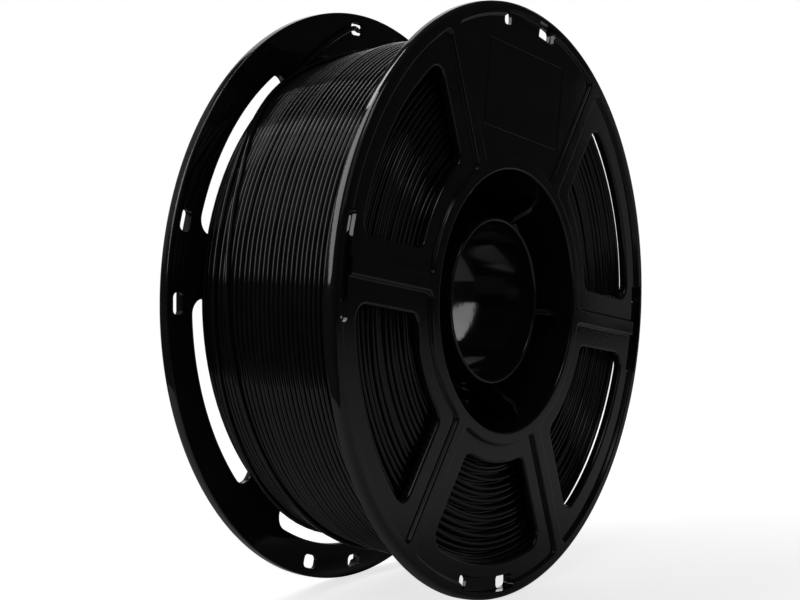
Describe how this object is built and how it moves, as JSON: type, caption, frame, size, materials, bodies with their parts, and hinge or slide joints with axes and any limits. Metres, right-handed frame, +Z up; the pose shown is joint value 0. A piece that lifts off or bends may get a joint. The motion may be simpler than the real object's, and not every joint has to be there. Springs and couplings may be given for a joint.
{
  "type": "filament spool",
  "caption": "Snap-together spool with two windowed flanges on a hollow hub, wound full of thin filament whose end is tucked through a rim hole.",
  "frame": {"origin": "on the spool's axis, midway between the two outer faces", "axes": "+Y along the axis towards the rear flange, +Z up; the spool stands on its two rims"},
  "size_m": [0.2, 0.0686, 0.2],
  "materials": {
    "spool_plastic": "satin black moulded plastic",
    "filament_plastic": "glossy black filament"
  },
  "bodies": {
    "root": {"front_half": "spool_plastic", "rear_half": "spool_plastic", "filament_core": "filament_plastic", "filament_outer_layer": "filament_plastic"}
  },
  "joints": []
}
